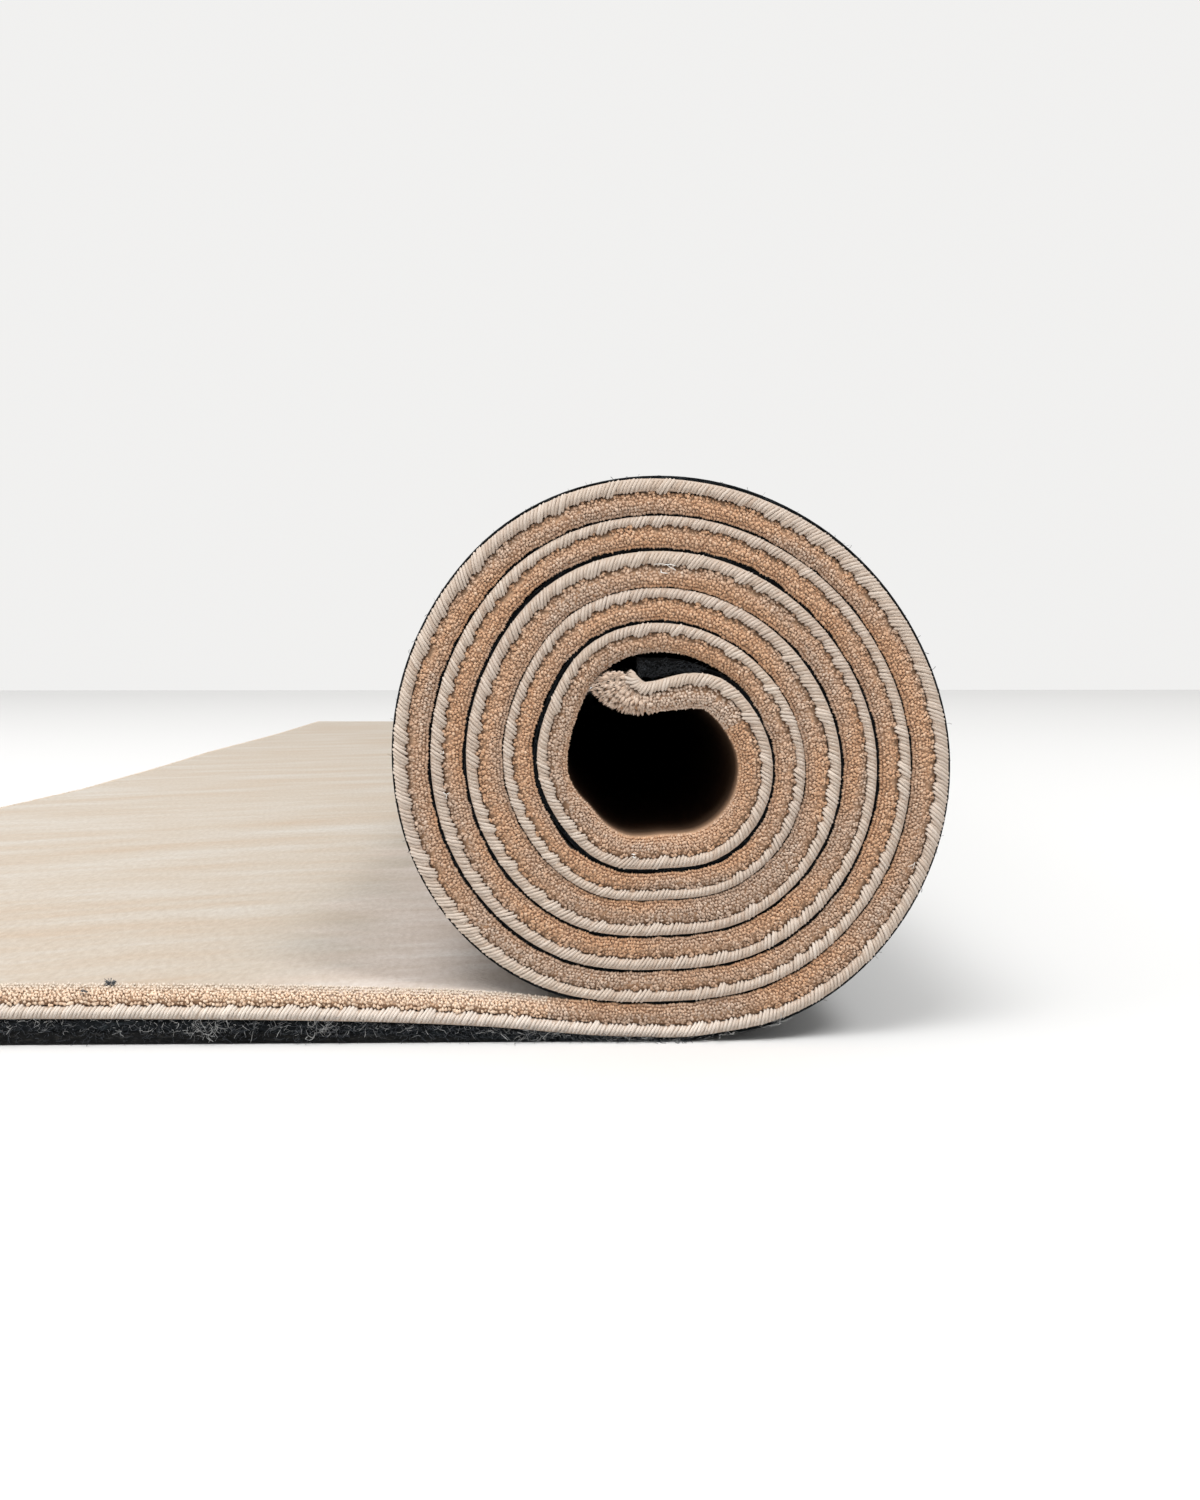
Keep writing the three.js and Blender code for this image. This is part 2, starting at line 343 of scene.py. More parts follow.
LEAST_STRETCH = 0.3  # kept where a sharp bend crowds the pile
PACE_DETAIL = 4  # steps in each mm, to measure how far the carpet runs


def stretch(u, w):
    """How much further the carpet runs at height w than along its back."""
    run_x = column("slope_x", u) + w * column("slope_pile_x", u)
    run_z = column("slope_z", u) + w * column("slope_pile_z", u)
    return np.maximum(np.hypot(run_x, run_z), LEAST_STRETCH)


def paced(start, end, pitch, heights):
    """Places from start to end along the carpet, a pitch apart at the height where it runs furthest."""
    fine = np.linspace(start, end, int(end - start) * PACE_DETAIL)
    middles = 0.5 * (fine[1:] + fine[:-1])
    steps = np.diff(fine) * np.max([stretch(middles, w) for w in heights], axis=0)
    run = np.concatenate([[0], np.cumsum(steps)])
    return np.interp(np.linspace(0, run[-1], round(run[-1] / pitch) + 1), run, fine)


# Random but repeatable unevenness

def wander(reach, rng, size=1):
    """A smooth random function of u, up to a size each way, which turns about every reach."""
    knots = rng.uniform(-size, size, int(LENGTH / reach) + 3)

    def at(u):
        place = np.clip(u, 0, LENGTH) / reach
        left = place.astype(int)
        t = place - left
        t = t * t * (3 - 2 * t)
        return knots[left] * (1 - t) + knots[left + 1] * t

    return at


LOBE_FULLNESS = (0.4, 1.6)  # amid the flattest lobe and amid the fullest
LOBE_MIDDLE = 0.6  # about the mean along an edge


def lobes(smallest, largest, rng):
    """A function along an edge that swells and ebbs: 0 between two lobes, about 1 amid one."""
    sizes = rng.uniform(smallest, largest, int(2 * LENGTH / smallest))
    ends = np.cumsum(sizes) - LENGTH
    fullness = rng.uniform(*LOBE_FULLNESS, len(sizes))

    def at(along):
        lobe = np.searchsorted(ends, along)
        share = (ends[lobe] - along) / sizes[lobe]
        return 4 * share * (1 - share) * fullness[lobe]

    return at


def unit(vectors):
    return vectors / np.linalg.norm(vectors, axis=-1, keepdims=True)


# Meshes from arrays

def add_object(name, data):
    made = bpy.data.objects.new(name, data)
    bpy.context.scene.collection.objects.link(made)
    return made


def make_piece(name, flat, triangles, material, tint):
    """A piece of flat points and triangles, wound into place."""
    mesh = bpy.data.meshes.new(name)
    mesh.vertices.add(len(flat))
    mesh.vertices.foreach_set("co", wound(flat).ravel())
    mesh.loops.add(triangles.size)
    mesh.loops.foreach_set("vertex_index", triangles.ravel().astype(np.int32))
    mesh.polygons.add(len(triangles))
    mesh.polygons.foreach_set("loop_start", np.arange(0, triangles.size, 3, dtype=np.int32))
    mesh.update(calc_edges=True)
    mesh.attributes.new("flat", "FLOAT_VECTOR", "POINT").data.foreach_set("vector", (flat * MM).ravel())
    tints = np.broadcast_to(tint, len(flat)).copy()
    mesh.attributes.new("tint", "FLOAT", "POINT").data.foreach_set("value", tints)
    mesh.shade_smooth()
    mesh.materials.append(material)
    piece = add_object(name, mesh)
    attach(piece, "root")
    return piece


def side_by_side(columns, count):
    """Columns of values, or of one value each, as arrays with a row for each of so many places."""
    return [np.stack([np.broadcast_to(part, count) for part in kind], axis=1) for kind in zip(*columns)]


def ring_walls(rings, sides):
    """The triangles between rings of points, one ring after the other."""
    here = (np.arange(rings - 1)[:, None] * sides + np.arange(sides)).ravel()
    after = (np.arange(rings - 1)[:, None] * sides + (np.arange(sides) + 1) % sides).ravel()
    first = np.stack([here, here + sides, after], 1)
    second = np.stack([after, here + sides, after + sides], 1)
    return np.concatenate([first, second])


def strip_mesh(u, insets, heights):
    """A closed strip, from the insets and heights of half its section at each place u. That half runs from
    amid the underside round the front rim to amid the top, and the back half is alike."""
    rows, half = insets.shape
    sides = 2 * half
    v = np.concatenate([insets - WIDTH / 2, (WIDTH / 2 - insets)[:, ::-1]], axis=1)
    w = np.concatenate([heights, heights[:, ::-1]], axis=1)
    flat = np.stack([np.broadcast_to(u[:, None], v.shape), v, w], axis=-1).reshape(-1, 3)
    ladder = np.stack([np.arange(half), np.arange(half)[::-1]], axis=1).ravel()[:half]
    rungs = np.stack([ladder[:-2], ladder[1:-1], ladder[2:]], axis=1)
    middle = [[0, half - 1, half], [0, half, sides - 1]]
    cap = np.sort(np.concatenate([rungs, sides - 1 - rungs, middle]), axis=1)
    far_cap = cap[:, ::-1] + (rows - 1) * sides
    return flat, np.concatenate([ring_walls(rows, sides), cap, far_cap])


def copies(shape_triangles, points_each, count):
    """The triangles of many like shapes, one after the other."""
    return (shape_triangles[None] + points_each * np.arange(count)[:, None, None]).reshape(-1, 3)


def spread_u(centres, offsets):
    """Centres and offsets from them, both flat, with the offsets' real length along the carpet kept."""
    scaled = offsets.copy()
    scaled[..., 0] /= stretch(centres[..., 0], centres[..., 2])
    return centres + scaled


BEAD_SIDES = 4
BEAD_ZIGZAG = 0.3  # of the bead's ring, as a share of its half length
BEAD_TURN = (0.13, 1.0, 0.21)  # any direction that is not a bead's axis


def bead_shape():
    """A rough bead, one unit in radius: its points and triangles."""
    turn = np.arange(BEAD_SIDES) * math.tau / BEAD_SIDES
    zigzag = BEAD_ZIGZAG * np.where(np.arange(BEAD_SIDES) % 2, 1, -1)
    ring = np.stack([np.cos(turn), np.sin(turn), zigzag], axis=1)
    points = np.concatenate([ring, [[0, 0, 1], [0, 0, -1]]])
    k = np.arange(BEAD_SIDES)
    after = (k + 1) % BEAD_SIDES
    top = np.stack([k, after, np.full(BEAD_SIDES, BEAD_SIDES)], 1)
    bottom = np.stack([after, k, np.full(BEAD_SIDES, BEAD_SIDES + 1)], 1)
    return points, np.concatenate([top, bottom])


def bead_mesh(centres, axes, half_lengths, radii):
    """One bead at each centre, long along its axis."""
    points, triangles = bead_shape()
    across = unit(np.cross(axes, BEAD_TURN))
    third = np.cross(axes, across)
    offsets = (
        points[:, 0, None] * (across * radii[:, None])[:, None]
        + points[:, 1, None] * (third * radii[:, None])[:, None]
        + points[:, 2, None] * (axes * half_lengths[:, None])[:, None]
    )
    flat = spread_u(np.broadcast_to(centres[:, None], offsets.shape), offsets)
    return flat.reshape(-1, 3), copies(triangles, len(points), len(centres))


def tube_mesh(lines, across, outwards, radii, sides):
    """A closed tube along each line. Lines are flat points, rings along the second axis; a radius each."""
    count, rings, _ = lines.shape
    turn = np.arange(sides) * math.tau / sides
    ring = np.cos(turn)[:, None] * across[..., None, :] + np.sin(turn)[:, None] * outwards[..., None, :]
    offsets = radii[:, None, None, None] * ring
    flat = spread_u(np.broadcast_to(lines[:, :, None], offsets.shape), offsets)
    fan = np.arange(1, sides - 1)
    cap = np.stack([np.zeros_like(fan), fan + 1, fan], 1)
    far_cap = cap[:, ::-1] + (rings - 1) * sides
    triangles = np.concatenate([ring_walls(rings, sides)[:, ::-1], cap, far_cap])
    return flat.reshape(-1, 3), copies(triangles, rings * sides, count)


# The four edges of the flat carpet. Each has the corner that it starts from, its direction, the direction
# out of the carpet, and whether the whipping travels along that direction (1) or against it (-1).
EDGES = {
    "front": ((0, -WIDTH / 2, 0), (1, 0, 0), (0, -1, 0), 1),
    "back": ((0, WIDTH / 2, 0), (1, 0, 0), (0, 1, 0), -1),
    "open": ((0, 0, 0), (0, 1, 0), (-1, 0, 0), -1),
    "inner": ((LENGTH, 0, 0), (0, 1, 0), (1, 0, 0), 1),
}
LONG_EDGES = ("front", "back")  # these run along u
UP = np.array([0, 0, 1])


def edge_points(edge, along, inset, w):
    """Flat points at a place along an edge, a distance in from it, and a height."""
    corner, direction, outwards, _ = (np.array(part) for part in EDGES[edge])
    along, inset, w = (np.asarray(part)[..., None] for part in np.broadcast_arrays(along, inset, w))
    return corner + along * direction - inset * outwards + w * UP


def edge_places(edge, inset, pitch, heights):
    """Places a pitch apart along an edge at these heights, as far as the inset from its ends."""
    if edge in LONG_EDGES:
        return paced(inset, LENGTH - inset, pitch, heights)
    reach = WIDTH / 2 - inset
    places = np.linspace(-reach, reach, round(2 * reach / pitch) + 1)
    if edge == "inner":
        return places[np.abs(places) > WIDTH / 2 - INNER_EDGE_SHOWN]
    return places


# Materials

def new_material(name, roughness, sheen, sheen_tint):
    material = bpy.data.materials.new(name)
    material.use_nodes = True
    shader = material.node_tree.nodes["Principled BSDF"]
    shader.inputs["Roughness"].default_value = roughness
    shader.inputs["Specular IOR Level"].default_value = 0.15
    shader.inputs["Sheen Weight"].default_value = sheen
    shader.inputs["Sheen Roughness"].default_value = 0.6
    shader.inputs["Sheen Tint"].default_value = (*sheen_tint, 1)
    return material, material.node_tree, shader


def fill_socket(tree, socket, value):
    """Set a socket to a value, or link it to the output of another node."""
    if isinstance(value, bpy.types.NodeSocket):
        tree.links.new(value, socket)
    else:
        socket.default_value = value


def add_node(tree, kind, inputs, **settings):
    """A node, with inputs that are values or the outputs of other nodes."""
    made = tree.nodes.new(kind)
    for name, value in settings.items():
        setattr(made, name, value)
    for name, value in inputs.items():
        fill_socket(tree, made.inputs[name], value)
    return made


def attribute(tree, name, output):
    return add_node(tree, "ShaderNodeAttribute", {}, attribute_name=name).outputs[output]


def parts(tree, vector):
    """A vector's three parts, by the names X, Y and Z."""
    return add_node(tree, "ShaderNodeSeparateXYZ", {"Vector": vector}).outputs


def calculated(tree, operation, *inputs):
    return add_node(tree, "ShaderNodeMath", dict(enumerate(inputs)), operation=operation).outputs[0]


def graded(tree, value, start, end, first=0, last=1, interpolation_type="LINEAR"):
    """Goes from first to last as the value goes from start to end."""
    inputs = {"Value": value, "From Min": start, "From Max": end, "To Min": first, "To Max": last}
    made = add_node(tree, "ShaderNodeMapRange", inputs, interpolation_type=interpolation_type)
    return made.outputs[0]


def noise(tree, vector, scale, detail=2, roughness=0.5, turn=0):
    """Noise on the flat carpet. The scale is its cells in each metre along u, v and w, swung by a turn."""
    turned = add_node(tree, "ShaderNodeMapping", {"Vector": vector, "Rotation": (0, 0, turn)})
    placed = add_node(tree, "ShaderNodeMapping", {"Vector": turned.outputs[0], "Scale": scale})
    inputs = {"Vector": placed.outputs[0], "Scale": 1, "Detail": detail, "Roughness": roughness}
    return add_node(tree, "ShaderNodeTexNoise", inputs).outputs["Fac"]


def ramp(tree, factor, stops):
    """A colour ramp of (position, colour) stops."""
    made = add_node(tree, "ShaderNodeValToRGB", {"Fac": factor})
    elements = made.color_ramp.elements
    while len(elements) < len(stops):
        elements.new(1)
    for element, (position, colour) in zip(elements, stops):
        element.position = position
        element.color = (*colour, 1)
    return made.outputs["Color"]


def mix(tree, factor, first, second, blend_type="MIX"):
    made = tree.nodes.new("ShaderNodeMix")
    made.data_type = "RGBA"
    made.blend_type = blend_type
    for index, value in ((0, factor), (6, first), (7, second)):
        fill_socket(tree, made.inputs[index], value)
    return made.outputs[2]


def bump(tree, shader, height, strength, distance):
    made = add_node(tree, "ShaderNodeBump", {"Height": height, "Strength": strength, "Distance": distance})
    tree.links.new(made.outputs["Normal"], shader.inputs["Normal"])


# Places for the materials, in metres, as the flat coordinates are.
OPEN_END = 0.375  # the carpet lies open up to here along u
BRUSHED_SHADE_START, BRUSHED_SHADE_END = 0.325, 0.38  # where the greyer strip by the roll sets in, along u: nap laid another way by brushing, and painted shade from the roll
BRUSHED_SHADE_RAGGED = 0.1  # by which it is pushed to and fro
NAP_START = 0.0078  # height on the open end's rim where the nap's colour sets in
FELT_SEAM = -0.0043  # w between the felt's two layers, where it lies free
SEAM_BLUR = 0.0006

STREAK_TURN = math.radians(-22)  # of the nap's streaks, against the carpet's length
NAP_SHEEN = 0.2
RIM_TINT = 0.35  # of the pile's rim between its grains, where it paints warm shade; its top has 1


def lying_open(tree, along):
    """1 on the open end and 0 in the roll."""
    return calculated(tree, "LESS_THAN", along, OPEN_END)


def nap_material():
    """The pile seen from above: soft slanting streaks, fine fibres, and a greyer strip by the roll, for nap
    laid another way by brushing and for painted shade from the roll.
    The tint is low on the rim, where it paints warm shade between the grains, and lowest at the rim's root
    and deep in the core, where it paints deeper shade."""
    material, tree, shader = new_material("pile_nap", 0.95, NAP_SHEEN, (0.95, 0.9, 0.85))
    flat = attribute(tree, "flat", "Vector")
    tint = attribute(tree, "tint", "Fac")
    streaks = ramp(tree, noise(tree, flat, (5, 26, 0), 6, 0.68, STREAK_TURN), [
        (0.3, (0.485, 0.385, 0.29)),
        (0.48, (0.50, 0.435, 0.36)),
        (0.7, (0.555, 0.525, 0.48)),
    ])
    greys = ramp(tree, noise(tree, flat, (14, 70, 0), 5, 0.65, STREAK_TURN), [
        (0.3, (0.55, 0.455, 0.38)),
        (0.5, (0.63, 0.545, 0.485)),
        (0.7, (0.73, 0.675, 0.63)),
    ])
    along = parts(tree, flat)["X"]
    # The greyer strip by the roll: nap laid another way by brushing, and painted shade from the roll.
    ragged = calculated(tree, "MULTIPLY_ADD", noise(tree, flat, (16, 30, 0), 4), BRUSHED_SHADE_RAGGED, along)
    brushed_shade = graded(tree, ragged, BRUSHED_SHADE_START, BRUSHED_SHADE_END, interpolation_type="SMOOTHSTEP")
    patch = calculated(tree, "MULTIPLY", brushed_shade, lying_open(tree, along))
    nap = mix(tree, patch, streaks, greys)
    fine = ramp(tree, noise(tree, flat, (520, 170, 0), 3, 0.6), [(0.3, (0.84, 0.81, 0.78)), (0.7, (1, 1, 1))])
    on_top = graded(tree, tint, RIM_TINT, 1)
    # A low tint turns the nap to a warm crevice colour and darkens it further: painted shade between the
    # grains, in the groove and in the core.
    colour = mix(tree, on_top, (0.50, 0.315, 0.20, 1), mix(tree, 1, nap, fine, "MULTIPLY"))
    depth_shade = ramp(tree, tint, [(0, (0.06, 0.045, 0.035)), (RIM_TINT, (1, 1, 1))])
    tree.links.new(mix(tree, 1, colour, depth_shade, "MULTIPLY"), shader.inputs["Base Color"])
    tree.links.new(graded(tree, tint, RIM_TINT, 1, 0, NAP_SHEEN), shader.inputs["Sheen Weight"])
    bump(tree, shader, noise(tree, flat, (500, 1100, 900), 3), strength=0.5, distance=0.0006)
    return material


def tuft_material():
    """The pile's cut rim: pale on the grains, warm and darker at a low tint, which paints shade in the
    notches, at the crests and around the core; in patches along the carpet.
    On the open end it goes over into the nap's colour towards the top."""
    material, tree, shader = new_material("pile_rim", 0.95, 0.2, (0.95, 0.88, 0.8))
    flat = attribute(tree, "flat", "Vector")
    tint = attribute(tree, "tint", "Fac")
    warm = ramp(tree, tint, [
        (0, (0.42, 0.22, 0.115)),
        (0.45, (0.62, 0.385, 0.235)),
        (1, (0.87, 0.69, 0.53)),
    ])
    cool = ramp(tree, tint, [
        (0, (0.39, 0.25, 0.17)),
        (0.45, (0.56, 0.415, 0.315)),
        (1, (0.84, 0.71, 0.60)),
    ])
    patches = graded(tree, noise(tree, flat, (22, 22, 90), 3), 0.4, 0.6)
    place = parts(tree, flat)
    tongue = calculated(tree, "GREATER_THAN", place["X"], TONGUE_START * MM)
    coolness = calculated(tree, "MAXIMUM", patches, tongue)
    open_end = lying_open(tree, place["X"])
    rim = mix(tree, open_end, mix(tree, coolness, warm, cool), warm)
    upper = graded(tree, place["Z"], NAP_START, CARPET_FREE * MM, interpolation_type="SMOOTHSTEP")
    nap = calculated(tree, "MULTIPLY", upper, open_end)
    # Towards the top of the open end's rim the grains take a colour paler than the nap: painted light on
    # sides that face away from the lamps.
    colour = mix(tree, nap, rim, (0.68, 0.59, 0.495, 1))
    tree.links.new(colour, shader.inputs["Base Color"])
    bump(tree, shader, noise(tree, flat, (1800, 1800, 1800), 2), strength=0.4, distance=0.0003)
    return material


def yarn_material():
    """The whipping yarn: pale wool, greyer along some stretches, with its fine hairs as bump. A low tint
    paints shade: in the roll, and on the band seen between the strands.
    """
    material, tree, shader = new_material("whipping_yarn", 0.85, 0.12, (0.95, 0.92, 0.88))
    flat = attribute(tree, "flat", "Vector")
    pale = ramp(tree, attribute(tree, "tint", "Fac"), [
        (0, (0.42, 0.30, 0.215)),
        (0.4, (0.565, 0.475, 0.40)),
        (1, (0.78, 0.705, 0.635)),
    ])
    stretches = ramp(tree, noise(tree, flat, (14, 14, 0), 2), [
        (0.35, (0.93, 0.91, 0.90)),
        (0.65, (1, 0.99, 0.97)),
    ])
    tree.links.new(mix(tree, 1, pale, stretches, "MULTIPLY"), shader.inputs["Base Color"])
    bump(tree, shader, noise(tree, flat, (2600, 2600, 900), 2), strength=0.5, distance=0.0003)
    return material


def felt_material():
    """The felt: charcoal, matted from darker and paler fibres, bluish in its upper layer and brown below.
    The tint is low where it lies deep in the roll, on the tongue: painted shade there."""
    material, tree, shader = new_material("felt", 1, 0.06, (0.6, 0.65, 0.7))
    flat = attribute(tree, "flat", "Vector")
    matted = ramp(tree, noise(tree, flat, (380, 900, 1300), 4, 0.7), [
        (0.36, (0.002, 0.0025, 0.003)),
        (0.54, (0.010, 0.011, 0.012)),
        (0.68, (0.045, 0.047, 0.048)),
        (0.78, (0.12, 0.122, 0.12)),
    ])
    layer = graded(tree, parts(tree, flat)["Z"], FELT_SEAM - SEAM_BLUR, FELT_SEAM + SEAM_BLUR)
    cast = mix(tree, layer, (1.0, 0.9, 0.8, 1), (0.85, 1.0, 1.1, 1))
    clouds = ramp(tree, noise(tree, flat, (50, 50, 200), 8, 0.72), [
        (0.34, (0.4, 0.4, 0.4)),
        (0.66, (1, 1, 1)),
    ])
    felted = mix(tree, 1, mix(tree, 1, matted, cast, "MULTIPLY"), clouds, "MULTIPLY")
    # A low tint turns the felt black: painted shade.
    shaded = mix(tree, attribute(tree, "tint", "Fac"), (0.001, 0.001, 0.001, 1), felted)
    tree.links.new(shaded, shader.inputs["Base Color"])
    bump(tree, shader, noise(tree, flat, (500, 900, 900), 4, 0.65), strength=0.8, distance=0.0008)
    return material


def fibre_material():
    """Loose fibres, from the felt's black to pale grey, and white thread."""
    material, tree, shader = new_material("loose_fibre", 0.9, 0.1, (0.7, 0.75, 0.8))
    colour = ramp(tree, attribute(tree, "tint", "Fac"), [
        (0, (0.010, 0.011, 0.013)),
        (0.55, (0.045, 0.050, 0.058)),
        (0.92, (0.42, 0.42, 0.41)),
        (1, (0.9, 0.88, 0.84)),
    ])
    tree.links.new(colour, shader.inputs["Base Color"])
    return material


NAP = nap_material()
TUFT = tuft_material()
YARN = yarn_material()
FELT = felt_material()
FIBRE = fibre_material()


# The carpet and its rims

SHEET_STEP = 3.0
NAP_INSETS = (6, 10, 17, 30)  # of the sheet's columns near its rims
BEND_INSETS = (341, 515, 635, 668, 849)  # of both sheets' columns where the open end's edge bends
RIM_SHARES = (0, 0.22, 0.34, 0.6, 0.8, 1)  # of the way up the rim
RISING_SHARES = (0, 0.06, 0.25, 0.56)  # of the rim's lean, for the sheet's rows on the open end's rim
RIM_FOOT = PILE_INSET + 0.4  # inset of the rim's root
RIM_BULGE = 0.7  # of the rim, half way up
OPEN_LEAN, CORE_LEAN = 3.0, 1.8  # of the rim's top, backwards, at the open end and around the core
OPEN_FADE, CORE_FADE = 30, 15  # lengths over which the rim changes there
RIM_RECESS = 0.45  # of the sheet's rim behind the grains' centres
LIP_DROP = 0.1  # of the sheet's rim under the rim's top
LIP_BACK, NAP_BACK = 0.4, 0.5  # of the sheet's first columns behind its rim's top
CREST_DROP = 0.45  # of the last row of grains under the rim's top
NAP_DROP = 0.2  # of the sheet's top under the pile's
GROOVE_SINK = 0.5  # of the sheet's groove under the whipped edge's top
GROOVE_RISE = 0.3  # from there to the sheet's rim
GROOVE_SHARE = 0.25  # of the way up the rim that the groove's tint reaches
SPILL = 2.05  # of a turn's pile over the next turn's felt, where that is hidden
SPILL_START = TAIL_LENGTH - 62  # where the roll comes down on the open end
RIPPLE_REACH, RIPPLE_SIZE = 3.5, 0.3  # of the spill, along u
GROOVE_TINT = 0.17  # of the sheet over the whipped edge: painted shade in the groove
LIP_TINT = 0.6  # of the sheet just behind its rim's top, in the roll
CORE_TINTS = ((5, 0.45), (8, 0.2), (18, 0.02))  # of the sheet around the core, darker further in as painted shade: inset, tint
OPEN_TINT, TONGUE_TINT = 0.5, 0.15  # by which the rim is paler: at the open end as painted light on the rim that stands free, and on the tongue


def at_open_end(u):
    """1 where the pile lies open, 0 from where the roll has come down on it."""
    return np.clip((SPILL_START + OPEN_FADE - u) / OPEN_FADE, 0, 1)


def at_core(u):
    """1 where the pile faces the core, 0 before."""
    return np.clip((u - CORE_START + CORE_FADE) / CORE_FADE, 0, 1)


def rim_lean(u):
    return OPEN_LEAN * at_open_end(u) + CORE_LEAN * at_core(u)


# Paler at the open end, as painted light on the rim that stands free; paler on the tongue.
def paler(u):
    return OPEN_TINT * at_open_end(u) + TONGUE_TINT * (u > TONGUE_START)


def rim_inset(share, lean):
    """How far the pile's rim stands in from the edge, a share of the way from its root to its top."""
    return RIM_FOOT - RIM_BULGE * np.sin(math.pi * share) + lean * share**2


def rim_top(u, ripple):
    """Height of the pile's rim. Between two turns it spills over the next turn's felt, and at the open end
    it comes down with that end's rim."""
    squeezed = (1 - at_open_end(u)) * (1 - at_core(u))
    spill = squeezed * (SPILL - by_turns(FELT_SHOWN, u) + ripple(u))
    up = np.sqrt(np.clip((u - RIM_FOOT) / OPEN_LEAN, 0, 1))
    return FOUNDATION + up * (column("carpet", u) + spill - FOUNDATION)


def carpet_sheet(ripple):
    start = RIM_FOOT + RIM_RECESS
    rising = start + OPEN_LEAN * np.array(RISING_SHARES)
    middle = np.linspace(BINDING_DEEP, LENGTH - BINDING_DEEP, int(LENGTH / SHEET_STEP))
    u = np.concatenate([rising, middle, [LENGTH - start]])
    top = rim_top(u - RIM_RECESS, ripple)
    nap = np.minimum(column("carpet", u), top) - NAP_DROP
    lean = rim_lean(u)
    core = at_core(u)
    open_end = at_open_end(u)
    ends = (u < BINDING_DEEP) | (u > LENGTH - BINDING_DEEP)
    weave = BINDING_DEEP + PIECE_GAP
    groove = by_turns(BINDING_HEIGHT, u) - GROOVE_SINK
    foot = groove + GROOVE_RISE
    lip = top - LIP_DROP - open_end * (NAP_DROP - LIP_DROP)
    back = rim_inset(1, lean) + RIM_RECESS
    underside = np.where(ends, groove, 0)
    columns = [(inset, underside, GROOVE_TINT) for inset in (*BEND_INSETS[::-1], weave)]
    columns.append((weave, groove, GROOVE_TINT))
    # At the open end the sheet's rim is paler towards its top: painted light on the rim that stands free.
    for share in RIM_SHARES:
        tint = RIM_TINT + open_end * (1 - RIM_TINT) * share if share > GROOVE_SHARE else GROOVE_TINT
        columns.append((rim_inset(share, lean) + RIM_RECESS, foot + share * (lip - foot), tint))
    columns.append((back + LIP_BACK, lip, RIM_TINT + open_end * (1 - RIM_TINT)))
    columns.append((back + NAP_BACK, np.minimum(lip, nap), LIP_TINT + open_end * (1 - LIP_TINT)))
    # Around the core the sheet is darker further in: painted shade.
    for inset in (*NAP_INSETS, *BEND_INSETS):
        core_tint = np.interp(inset, *np.array(CORE_TINTS).T)
        columns.append((inset, nap, 1 + core * (core_tint - 1)))
    insets, heights, tints = side_by_side(columns, len(u))
    flat, triangles = strip_mesh(u, insets, heights)
    tints = np.concatenate([tints, tints[:, ::-1]], axis=1).ravel()
    piece = make_piece("carpet_sheet", flat, triangles, NAP, tints)
    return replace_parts(piece, "carpet")


# The grains of the pile's cut rim
RIM_PITCHES = {"front": GRAIN_PITCH, "back": GRAIN_PITCH, "open": 2 * GRAIN_PITCH, "inner": 2 * GRAIN_PITCH}
GRAIN_SIZES = (0.8, 1.15)  # smallest and largest, as shares of their radius
GRAIN_LONG = 1.3  # half length, as a share of the radius
GRAIN_TILT = 0.45  # spread of their axes
GRAIN_SHIFT = 0.35  # to and fro along the rim, as a share of the pitch
INSET_SPREAD, HEIGHT_SPREAD, TINT_SPREAD = 0.13, 0.11, 0.09
GRAIN_TINT = 0.44
ROOT_GROWTH = 0.2  # by which the lowest grains are larger
LEAN_CROWD = 0.1  # of a leaning rim's rows towards its top, for each mm of lean
FAN_START = 1.3  # stretch past which the pile fans out and its grains grow longer
FAN_COMB = 0.7  # by which a full fan straightens them

# The groove at their root, and the tufts that stand over it
GROOVE = 0.55  # between the whipped edge's top and the middles of the rim's lowest grains
SCALLOP, DROP_SCALLOP = 1.2, 0.35  # of the whipped edge's top and its foot, from bundle to bundle
SCALLOP_LEVEL = 0.5  # of a bundle's swell, where the whipped edge has its stated height
GROOVE_FOLLOWS = 0.9  # as a share of the scallops
TUFT_SIZES = (2.4, 4.8)
TUFT_REACH = 0.35  # of a tuft's root, down over the groove
NOTCH = 0.7  # of the rim's root, back between two tufts
# by which the grains in a notch between tufts are darker: painted shade
NOTCH_SHADE = 0.25

# Their top rows
CREST_START = 0.7  # of the way up, where a turn that lies on the rim begins to shade it
CREST_SHADE = 0.2  # by which it is darker at its top there: painted shade under that turn
CREST_SHIFTS = (0.2, 0.8)  # of the last row along the rim, as shares of the pitch
CREST_BACK = 0.2
# of the last row, darker than the others: painted shade along the rim's top
CREST_TINT = 0.3
OPEN_SINK = 0.42  # of the top rows at the open end, into the nap
# The rows behind the rim's top, where the pile stands free: how far behind, tint, size.
TOP_ROWS = ((1.0, 0.4, 0.95), (2.1, 0.42, 0.9))
TOP_REACH = 1.5  # how far behind they go at the open end; around the core it is 1 mm further
TOP_DROP = 0.6  # under the rim's top
TOP_SHIFT = 0.6  # to and fro across the rim
CORE_SHADE, CORE_SHADE_RISE = 0.15, 0.06  # painted shade around the core, and more for each mm behind
